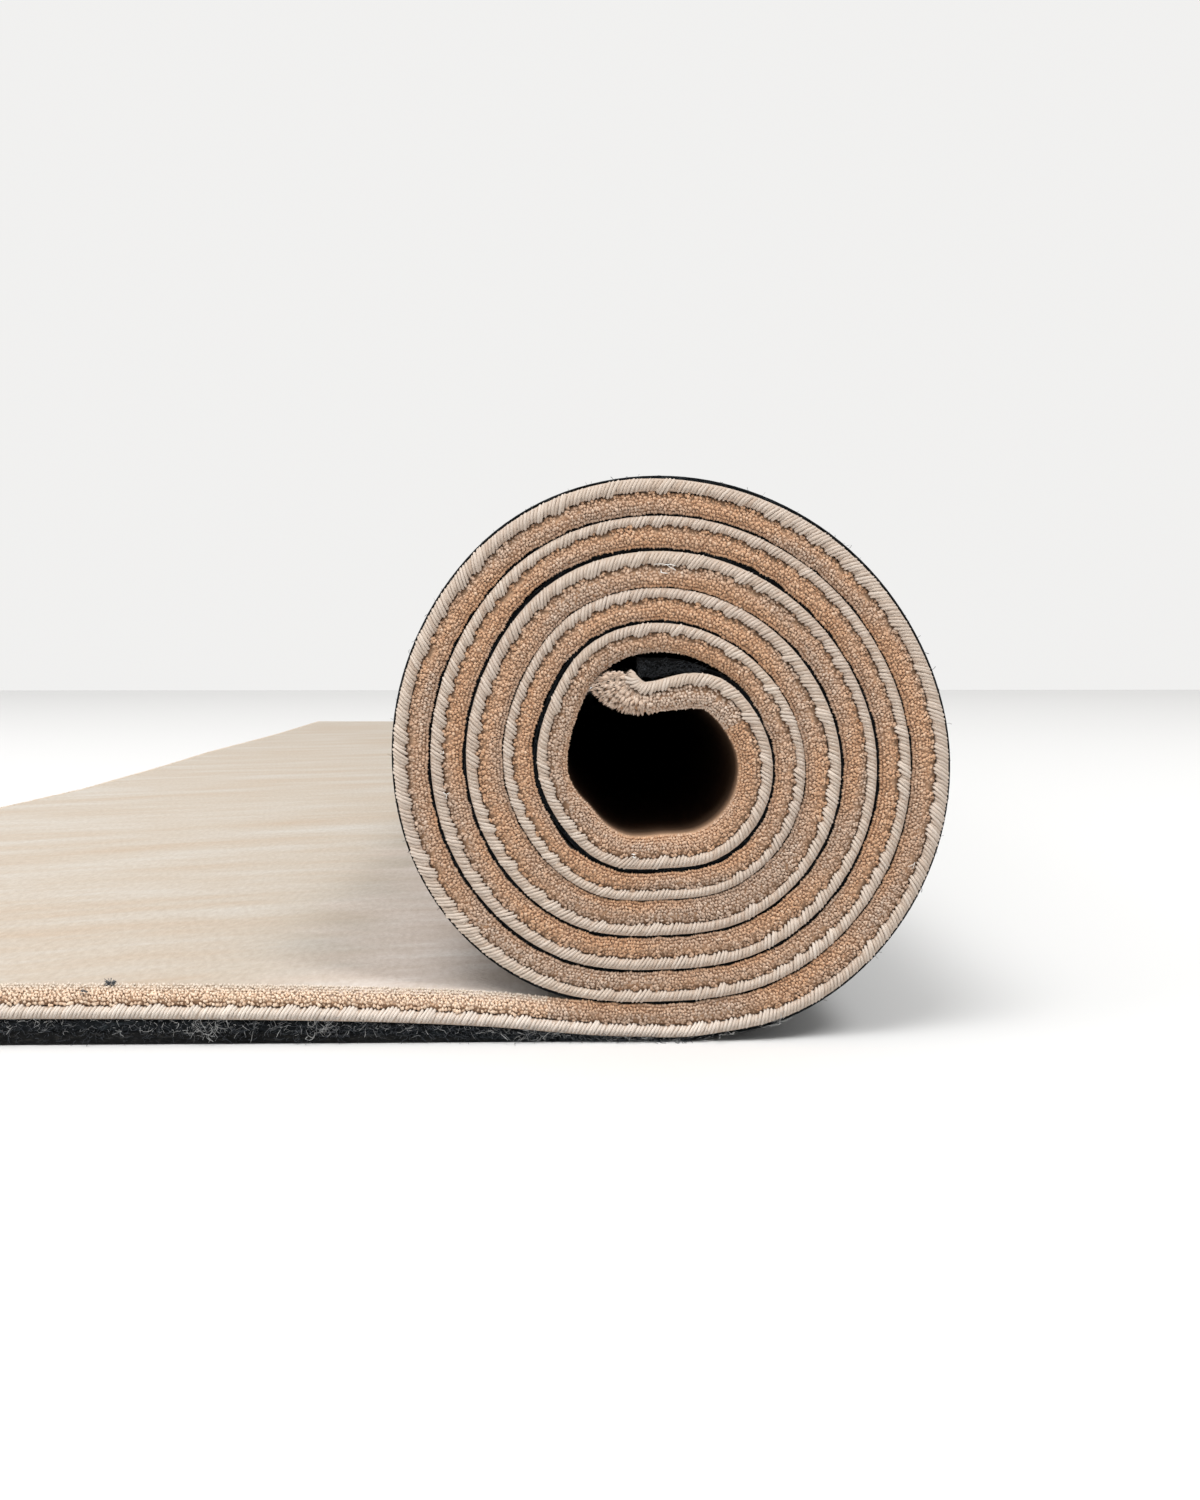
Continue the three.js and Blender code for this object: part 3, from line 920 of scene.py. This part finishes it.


def pile_rim(edge, bundles, ripple, rng):
    """The grains of the pile's cut rim along one edge, in rows from the root to the top. At the root they
    stand in tufts, over a groove that follows the bundles of the whipped edge."""
    pitch = RIM_PITCHES[edge]
    end_u = 2 * BINDING_DEEP if edge == "open" else LENGTH - PILE_INSET
    slant = math.tan(math.radians(STRAND_LEAN)) * EDGES[edge][3]
    places = edge_places(edge, PILE_INSET, pitch, (FOUNDATION, CARPET_FREE))
    grown = math.sqrt(pitch / GRAIN_PITCH)
    tufts = lobes(*TUFT_SIZES, rng)
    rows = []

    def flat_u(along):
        return along if edge in LONG_EDGES else np.full(len(along), end_u)

    def lean(along):
        return np.zeros(len(along)) if edge == "inner" else rim_lean(flat_u(along))

    def add_row(along, inset, w, tint, size):
        count = len(along)
        inset = inset + rng.normal(0, INSET_SPREAD, count)
        w = w + rng.normal(0, HEIGHT_SPREAD, count)
        tints = rng.normal(tint, TINT_SPREAD, count) + paler(flat_u(along))
        radii = GRAIN_RADIUS * grown * rng.uniform(*GRAIN_SIZES, count) * size
        rows.append((edge_points(edge, along, inset, w), tints, radii))

    def top(along):
        return rim_top(flat_u(along), ripple)

    def root(along):
        band = by_turns(BINDING_HEIGHT, flat_u(along))
        scallop = SCALLOP * (bundles(along - slant * band / 2) - SCALLOP_LEVEL)
        return band + GROOVE + GROOVE_FOLLOWS * scallop - TUFT_REACH * (tufts(along) - LOBE_MIDDLE)

    rise = top(places) - CREST_DROP - root(places)
    steps = np.maximum(np.round(np.hypot(rise, lean(places)) / GRAIN_RISE), 1)
    for row in range(int(steps.max()) + 1):
        kept = row <= steps
        share = (row / steps[kept]) ** (1 - LEAN_CROWD * lean(places[kept]))
        shift = 0.5 * (row % 2) + rng.uniform(-GRAIN_SHIFT, GRAIN_SHIFT, kept.sum())
        along = places[kept] + pitch * shift
        low, high = root(along), top(along) - CREST_DROP
        # Grains in a notch between tufts, and at a crest that a turn lies on, are darker: painted shade.
        notch = np.clip(1 - tufts(along), 0, 1) * (1 - share) ** 2
        crest = np.clip(share - CREST_START, 0, 1) / (1 - CREST_START) * (lean(along) == 0)
        tint = GRAIN_TINT - NOTCH_SHADE * notch - CREST_SHADE * crest
        inset = rim_inset(share, lean(along)) + NOTCH * notch
        add_row(along, inset, low + share * (high - low), tint, 1 + ROOT_GROWTH * (row == 0))
    along = places + pitch * rng.uniform(*CREST_SHIFTS, len(places))
    crest = top(along) - CREST_DROP - OPEN_SINK * at_open_end(flat_u(along))
    add_row(along, rim_inset(1, lean(along)) + CREST_BACK, crest, CREST_TINT, 1)
    standing_free = lean(places) > CORE_LEAN / 2
    for behind, tint, size in TOP_ROWS:
        within_reach = TOP_REACH + at_core(flat_u(places)) > behind
        standing = places[standing_free & within_reach]
        along = standing + pitch * rng.uniform(-0.5, 0.5, len(standing))
        inset = rim_inset(1, lean(along)) + behind + rng.uniform(-TOP_SHIFT, TOP_SHIFT, len(along))
        # Painted shade around the core.
        shade = at_core(flat_u(along)) * (CORE_SHADE + CORE_SHADE_RISE * behind)
        sunk = TOP_DROP + OPEN_SINK * at_open_end(flat_u(along))
        add_row(along, inset, top(along) - sunk, tint - shade, size)
    centres, tints, radii = (np.concatenate(part) for part in zip(*rows))
    fan = np.clip(stretch(centres[:, 0], centres[:, 2]) - FAN_START, 0, 1)
    axes = unit(rng.normal(0, GRAIN_TILT, centres.shape) * (1 - FAN_COMB * fan)[:, None] + UP)
    flat, triangles = bead_mesh(centres, axes, (GRAIN_LONG + fan) * radii, radii)
    tints = np.repeat(np.clip(tints, 0, 1), len(flat) // len(centres))
    return make_piece(f"pile_rim_{edge}", flat, triangles, TUFT, tints)


# The whipped edge

BUNDLE_SIZES = (4.5, 7.5)
STRAND_SIDES, STRAND_RINGS = 4, 5
STRAND_ARC = (-112, 110)  # degrees round the edge, from the felt's side to the pile's
STRAND_START = 0.6 * BINDING_DEEP  # of the first strand, from the edge's end
STRAND_MIDDLE = 2.1  # inset of the line that the strands go round
STRAND_OUT, BUNDLE_OUT = 1.55, 0.35  # of the strands from that line, and more in a full bundle
OUT_SPREAD, REACH_SPREAD, SLANT_SPREAD = 0.06, 0.08, 0.1
SLANT_SHARES = (0.88, 1.12)  # of the strands' lean
STRAND_SIZES = (0.88, 1.1)  # smallest and largest, as shares of their radius
WRAP_TURNS = 0.1  # over which the roll closes in on the edge
YARN_TINT, YARN_SPREAD = 0.8, 0.07
WRAP_SHADE = 0.37  # by which the yarn is darker in the roll: painted shade, as the roll's face gets less light than the open end
BUNDLE_TINT = 0.1  # by which a full bundle is paler


def binding(edge, bundles, rng):
    """The yarn whipped over one edge: strands that lean, in soft bundles."""
    places = edge_places(edge, STRAND_START, STRAND_PITCH, (BINDING_THICK / 2,))
    count = len(places)
    corner, direction, outwards, travel = (np.array(part) for part in EDGES[edge])
    u = places if edge in LONG_EDGES else np.full(count, corner[0])
    middle = (by_turns(BINDING_HEIGHT, u) / 2)[:, None]
    drop = by_turns(BINDING_DROP, u)[:, None]
    swell = bundles(places)
    fuller = swell - LOBE_MIDDLE
    wrapped = np.clip(column("turns", u) / WRAP_TURNS, 0, 1)
    turn = np.radians(np.linspace(*STRAND_ARC, STRAND_RINGS))
    reach_out = (STRAND_OUT + BUNDLE_OUT * fuller + rng.normal(0, OUT_SPREAD, count))[:, None]
    scallop = SCALLOP * (swell - SCALLOP_LEVEL) + rng.normal(0, REACH_SPREAD, count)
    reach_up = middle - STRAND_RADIUS + scallop[:, None]
    drop_scallop = DROP_SCALLOP * fuller * wrapped + rng.normal(0, REACH_SPREAD, count)
    reach_down = middle - STRAND_RADIUS + drop + drop_scallop[:, None]
    inset = STRAND_MIDDLE - reach_out * np.cos(turn)
    w = middle + np.where(np.sin(turn) > 0, reach_up, reach_down) * np.sin(turn)
    lean = math.radians(STRAND_LEAN) * travel
    slant = math.tan(lean) * (w - middle) * rng.uniform(*SLANT_SHARES, count)[:, None]
    slant += rng.normal(0, SLANT_SPREAD, count)[:, None]
    if edge in LONG_EDGES:
        slant /= stretch(places, middle[:, 0])[:, None]
    lines = edge_points(edge, places[:, None] + slant, inset, w)
    across = np.broadcast_to(math.cos(lean) * direction - math.sin(lean) * UP, lines.shape)
    normal = np.cos(turn)[:, None] * outwards + np.sin(turn)[:, None] * UP
    normal = np.broadcast_to(normal, lines.shape)
    radii = STRAND_RADIUS * rng.uniform(*STRAND_SIZES, count)
    flat, triangles = tube_mesh(lines, across, normal, radii, STRAND_SIDES)
    # Darker in the roll: painted shade.
    tint = YARN_TINT - WRAP_SHADE * wrapped + BUNDLE_TINT * fuller + rng.normal(0, YARN_SPREAD, count)
    tints = np.repeat(np.clip(tint, 0, 1), STRAND_RINGS * STRAND_SIDES)
    return make_piece(f"binding_{edge}", flat, triangles, YARN, tints)


CORE_STEP = 4.0
# dark, as painted shade where the band shows between the strands
CORE_YARN_TINT = 0.28
# Its section: inset, and height as a share of the whipped edge's height, or of its drop where negative.
CORE_SECTION = (
    (BINDING_DEEP, 0.11),
    (2.5, 0.09),
    (2.3, -0.55),
    (1.5, -0.6),
    (1.0, 0.3),
    (1.0, 0.65),
    (1.5, 0.82),
    (BINDING_DEEP, 0.85),
)


def binding_core():
    """The band under the strands: one closed loop round the carpet, front, inner, back and open edge."""
    bends = np.array(OPEN_EDGE)[-2:0:-1, 0]
    loops = []
    for inset, share in CORE_SECTION:
        beside = np.linspace(inset, LENGTH - inset, int(LENGTH / CORE_STEP))
        reach = np.full(len(beside), WIDTH / 2 - inset)
        u = np.concatenate([beside, beside[::-1], np.full(len(bends), inset)])
        v = np.concatenate([-reach, reach, bends])
        height = share * by_turns(BINDING_HEIGHT if share > 0 else BINDING_DROP, u)
        loops.append(np.stack([u, v, height], axis=1))
    flat = np.concatenate(loops)
    triangles = ring_walls(len(loops) + 1, len(loops[0]))[:, ::-1] % len(flat)
    piece = make_piece("binding_core", flat, triangles, YARN, CORE_YARN_TINT)
    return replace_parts(piece, "edge_binding")


# The felt

FELT_STEP = 4.0
# The felt's cut rim from its floor side to the carpet's: share of its thickness, how far it is drawn in.
FELT_RIM = ((0, 0.2), (0.2, 0), (0.42, 0.1), (0.5, 0.8), (0.6, 0.1), (0.85, 0), (1, 0.4))
FELT_INSETS = (4.5, 9, 30)  # of the sheet's columns near its rims, on the floor's side
FELT_RAGS = ((5, 0.35), (13, 0.25))  # of its rim: reach along u, size
ROLLED_RECESS, TONGUE_RECESS = 0.6, 1.6  # of its rim in the roll, and on the tongue
ROLLED_DRAW = 0.3  # as a share of how far it is drawn in, where it is squeezed
TONGUE_FADE = 20  # along u, where the tongue starts
# by which the felt on the tongue is darker: painted shade in the core
TONGUE_SHADE = 0.9


def felt_sheet(rng):
    u = np.linspace(FELT_INSET, LENGTH - FELT_SHORT, int(LENGTH / FELT_STEP))
    felt = column("felt", u)
    top = -column("slack", u)
    bottom = top - felt
    free = (felt - FELT_ROLLED) / (FELT_FREE - FELT_ROLLED)
    inner = np.clip((u - TONGUE_START) / TONGUE_FADE, 0, 1)
    rim = FELT_INSET + ROLLED_RECESS * (1 - free) + TONGUE_RECESS * inner
    columns = [(inset, bottom) for inset in (*FELT_INSETS, *BEND_INSETS)[::-1]]
    for share, drawn_in in FELT_RIM:
        ragged = sum(wander(reach, rng, size)(u) for reach, size in FELT_RAGS)
        inset = rim + drawn_in * (ROLLED_DRAW + free) + ragged * (share > 0)
        columns.append((inset, bottom + share * felt))
    columns += [(inset, top) for inset in BEND_INSETS]
    insets, heights = side_by_side(columns, len(u))
    flat, triangles = strip_mesh(u, insets, heights)
    tints = np.repeat(1 - TONGUE_SHADE * inner, 2 * len(columns))
    piece = make_piece("felt_sheet", flat, triangles, FELT, tints)
    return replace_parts(piece, "felt_backing")


# Loose fibres

FIBRE_SIDES = 3
FIBRE_RADIUS, LINT_RADIUS = 0.08, 0.14
FIBRE_SIZES = (0.6, 1.3)  # thinnest and thickest, as shares of the radius
FLOOR_REACH = 40  # how far past the flat spot, along u, fibres may still meet the floor


def felt_height(u, share):
    """Height w in the felt, a share of the way from its floor side to the carpet's."""
    return -column("slack", u) - (1 - share) * column("felt", u)


def fibres(name, roots, headings, lengths, tints, rng, curl, rings, radius=FIBRE_RADIUS):
    """Loose fibres, each turning a little from ring to ring. Those of the open end stay above the floor."""
    lines = [roots]
    heading = headings
    for _ in range(rings - 1):
        heading = unit(heading + curl * rng.normal(size=heading.shape))
        lines.append(lines[-1] + heading * (lengths / (rings - 1))[:, None])
    lines = np.stack(lines, axis=1)
    u = lines[..., 0]
    floor = radius + felt_height(u, 0)
    lines[..., 2] = np.where(u < TAIL_LENGTH + FLOOR_REACH, np.maximum(lines[..., 2], floor), lines[..., 2])
    across = unit(np.cross(headings, rng.normal(size=headings.shape)))
    outwards = np.cross(unit(headings), across)
    across, outwards = (np.broadcast_to(part[:, None], lines.shape) for part in (across, outwards))
    radii = radius * rng.uniform(*FIBRE_SIZES, len(roots))
    flat, triangles = tube_mesh(lines, across, outwards, radii, FIBRE_SIDES)
    tints = np.repeat(np.clip(tints, 0, 1), rings * FIBRE_SIDES)
    return make_piece(name, flat, triangles, FIBRE, tints)


RIM_FIBRES = {"front": 4400, "back": 1800}  # how many
# Where they are rooted: from u, to u, share of them.
RIM_FIBRE_SPANS = (
    (4, TAIL_LENGTH, 0.7),
    (TAIL_LENGTH, LENGTH - 8, 0.22),
    (LENGTH - 24, LENGTH - FELT_SHORT, 0.08),
)
LOWEST_ROOT = 0.05  # share of the felt's thickness
ROOT_CROWD = 0.65  # power of that share; under 1 it crowds the roots towards the carpet
FREE_ROOT, ROLLED_ROOT = 0.1, 0.5  # behind the felt's rim, where it lies free and in the roll
RIM_OUTWARDS, RIM_HEADINGS = 0.6, (1.5, 0.2, 0.7)  # out of the rim, and spread along u, v and w
RIM_LENGTHS, ROLLED_LENGTH = (1.2, 4.2), 0.5  # where it lies free, and the share of that in the roll
UPPER_SHARE = 0.5  # of the felt's thickness, where the upper layer starts
UPPER_TINTS, LOWER_TINTS = (0.58, 0.22), (0.36, 0.12)  # middle and spread
# by which fibres on the tongue are darker: painted shade in the core
TONGUE_FIBRE_SHADE = 0.3
PALEST_RIM_FIBRE = 0.9


def rim_fibres(edge, rng):
    """Fibres matted over the felt's cut rim, most of them where the felt lies free."""
    count = RIM_FIBRES[edge]
    outwards = np.array(EDGES[edge][2])
    u = np.concatenate([rng.uniform(start, end, int(part * count)) for start, end, part in RIM_FIBRE_SPANS])
    lying = u < TAIL_LENGTH
    share = rng.uniform(LOWEST_ROOT, 1, len(u)) ** ROOT_CROWD
    inset = FELT_INSET + np.where(lying, FREE_ROOT, ROLLED_ROOT)
    roots = edge_points(edge, u, inset, felt_height(u, share))
    headings = unit(RIM_OUTWARDS * outwards + rng.normal(0, 1, roots.shape) * RIM_HEADINGS)
    lengths = rng.uniform(*RIM_LENGTHS, len(u)) * np.where(lying, 1, ROLLED_LENGTH)
    upper = (share > UPPER_SHARE) & lying
    middle, spread = np.where(upper[:, None], UPPER_TINTS, LOWER_TINTS).T
    tints = rng.normal(middle - TONGUE_FIBRE_SHADE * (u > TONGUE_START), spread)
    tints = np.minimum(tints, PALEST_RIM_FIBRE)
    return fibres(f"felt_fibres_{edge}", roots, headings, lengths, tints, rng, curl=0.5, rings=4)


# Clumps of pale fibres on the front rim: u, how many.
FELT_CLUMPS = ((118, 20), (268, 50), (304, 30), (372, 24), (405, 16), (428, 16), (446, 14))
CLUMP_SPREAD = 3.2  # along u
CLUMP_REACH = 0.8  # down the rim, as a share of the felt's thickness
CLUMP_OUT = 0.3  # of their roots, in front of the rim
CLUMP_HEADINGS = (1, 0.15, 1)  # spread along u, v and w
CLUMP_LENGTHS = (4, 9)
CLUMP_TINTS = (0.78, 0.95)


def clump_fibres(rng):
    """Clumps of pale curly fibres pulled out of the felt's front rim."""
    u = np.concatenate([rng.normal(place, CLUMP_SPREAD, count) for place, count in FELT_CLUMPS])
    share = 1 - rng.uniform(0, CLUMP_REACH, len(u))
    roots = edge_points("front", u, FELT_INSET - CLUMP_OUT, felt_height(u, share))
    headings = unit(rng.normal(0, 1, roots.shape) * CLUMP_HEADINGS)
    lengths = rng.uniform(*CLUMP_LENGTHS, len(u))
    tints = rng.uniform(*CLUMP_TINTS, len(u))
    return fibres("felt_clumps", roots, headings, lengths, tints, rng, curl=0.6, rings=7)


OUTSIDE_FIBRES = 2800  # how many
OUTSIDE_START, OUTSIDE_STOP = 25, 45  # past the flat spot, and before the end of the first turn
ENDS_SHARE, ENDS_REACH = 0.7, 40  # of those near the roll's ends, and their mean distance from it
OUTSIDE_SINK = 0.1  # of their roots, into the felt
OUTSIDE_HEADINGS, OUTSIDE_HEADING = (1, 1, 0.2), 0.2  # spread along u, v and w, and off the felt
OUTSIDE_LENGTHS = (0.7, 1.8)
OUTSIDE_TINT, OUTSIDE_TINT_SPREAD = 0.25, 0.15


def surface_fibres(rng):
    """Short fibres that stand off the outermost turn, most of them near the roll's ends."""
    count = OUTSIDE_FIBRES
    u = rng.uniform(TAIL_LENGTH + OUTSIDE_START, u_at(1) - OUTSIDE_STOP, count)
    reach = WIDTH / 2 - FELT_INSET
    by_the_ends = np.maximum(reach - rng.exponential(ENDS_REACH, count), 0) * rng.choice((-1, 1), count)
    v = np.where(rng.uniform(size=count) < ENDS_SHARE, by_the_ends, rng.uniform(-reach, reach, count))
    roots = np.stack([u, v, felt_height(u, 0) + OUTSIDE_SINK], axis=1)
    headings = unit(rng.normal(0, 1, roots.shape) * OUTSIDE_HEADINGS - OUTSIDE_HEADING * UP)
    lengths = rng.uniform(*OUTSIDE_LENGTHS, count)
    tints = rng.normal(OUTSIDE_TINT, OUTSIDE_TINT_SPREAD, count)
    return fibres("felt_fibres_outside", roots, headings, lengths, tints, rng, curl=0.5, rings=3)


LINT_SPREAD = (0.25, 0.075, 0.25)  # of a speck's fibres along u, v and w
LINT_HEADINGS = (1, 0.5, 0.2)


def lint(rng):
    """A few specks of lint and cut threads."""
    turns, v, w, counts, lengths, tints = np.array(LINT).T
    spot = np.repeat(np.arange(len(LINT)), counts.astype(int))
    roots = np.stack([u_at(turns), v, w], axis=1)[spot]
    roots += rng.normal(0, 1, roots.shape) * LINT_SPREAD
    headings = unit(rng.normal(0, 1, roots.shape) * LINT_HEADINGS)
    return fibres(
        "lint", roots, headings, lengths[spot], tints[spot], rng, curl=0.18, rings=5, radius=LINT_RADIUS)


# The stage

FLOOR_NEAR, FLOOR_FAR, FLOOR_SIDE = -4.0, 3.385, 5.0
FLOOR_DROP = -0.0003  # a hair under the felt and its fibres
FLOOR_PALER = 1.0  # from here back it grows paler


def floor_material():
    """Plain and pale, a little paler far back, where less light falls."""
    material, tree, shader = new_material("floor", 0.8, 0, (1, 1, 1))
    place = add_node(tree, "ShaderNodeNewGeometry", {}).outputs["Position"]
    far = graded(tree, parts(tree, place)["Y"], FLOOR_PALER, FLOOR_FAR)
    colour = mix(tree, far, (0.70, 0.698, 0.693, 1), (0.74, 0.738, 0.733, 1))
    tree.links.new(colour, shader.inputs["Base Color"])
    return material


def add_floor():
    mesh = bpy.data.meshes.new("floor")
    corners = [
        (-FLOOR_SIDE, FLOOR_NEAR, FLOOR_DROP),
        (FLOOR_SIDE, FLOOR_NEAR, FLOOR_DROP),
        (FLOOR_SIDE, FLOOR_FAR, FLOOR_DROP),
        (-FLOOR_SIDE, FLOOR_FAR, FLOOR_DROP),
    ]
    mesh.from_pydata(corners, [], [(0, 1, 2, 3)])
    mesh.materials.append(floor_material())
    add_object("floor", mesh)


# Square soft lights: name, place, aim, size, power.
LIGHTS = (
    ("left", (-1.5, -3.2, 4.8), (-0.1, -0.6, 0.05), 2.4, 157),
    ("right", (2.2, -3.0, 4.8), (-0.1, -0.6, 0.05), 1.4, 139),
    ("fill", (-2.6, -1.4, 1.2), (-0.1, -0.7, 0.05), 2.0, 26),
)


def add_light(name, place, aim, size, power):
    data = bpy.data.lights.new(name, "AREA")
    data.size = size
    data.energy = power
    light = add_object(name, data)
    light.location = place
    x, y, z = np.subtract(aim, place)
    tilt = math.atan2(math.hypot(x, y), -z)
    light.rotation_euler = (tilt, 0, math.atan2(y, x) - math.pi / 2)


LIGHT_IN_FRONT = 0.3  # of the room behind the camera
LIGHT_BEHIND = 0.88  # of the wall behind the carpet
LIGHT_SIDE = (0, 1, 0.9)  # towards the wall and the ceiling
LIGHT_BLEND = 0.5  # each way of square to that


def add_world():
    """A pale wall behind the carpet and a ceiling over it, and a dimmer room in front of it."""
    world = bpy.data.worlds.new("studio")
    world.use_nodes = True
    tree = world.node_tree
    background = tree.nodes["Background"]
    background.inputs["Color"].default_value = (1.0, 0.995, 0.985, 1)
    direction = add_node(tree, "ShaderNodeTexCoord", {}).outputs["Generated"]
    facing = add_node(tree, "ShaderNodeVectorMath", {0: direction, 1: LIGHT_SIDE}, operation="DOT_PRODUCT")
    strength = graded(
        tree, facing.outputs["Value"], -LIGHT_BLEND, LIGHT_BLEND, LIGHT_IN_FRONT, LIGHT_BEHIND, "SMOOTHSTEP")
    tree.links.new(strength, background.inputs["Strength"])
    bpy.context.scene.world = world
    bpy.context.scene.view_settings.view_transform = "Standard"


def add_camera():
    data = bpy.data.cameras.new("camera")
    data.sensor_fit = "VERTICAL"
    data.sensor_height = SENSOR_HEIGHT
    data.lens = FOCAL_PIXELS * SENSOR_HEIGHT / FRAME_HEIGHT_PIXELS
    data.clip_start = 0.01
    camera = add_object("camera", data)
    camera.location = [part * MM for part in CAMERA_PLACE]
    camera.rotation_euler = (math.radians(90 - CAMERA_PITCH), 0, math.radians(-CAMERA_YAW))
    bpy.context.scene.camera = camera


add_camera()
add_floor()
add_world()
for light in LIGHTS:
    add_light(*light)

rng = np.random.default_rng(SEED)
ripple = wander(RIPPLE_REACH, rng, RIPPLE_SIZE)
carpet = carpet_sheet(ripple)
bundles = {edge: lobes(*BUNDLE_SIZES, rng) for edge in EDGES}
rims = [pile_rim(edge, bundles[edge], ripple, rng) for edge in RIM_PITCHES]
bindings = [binding(edge, bundles[edge], rng) for edge in EDGES]
bindings.append(binding_core())
felt = felt_sheet(rng)
loose = [rim_fibres(edge, rng) for edge in RIM_FIBRES]
loose += [clump_fibres(rng), surface_fibres(rng)]
specks = lint(rng)
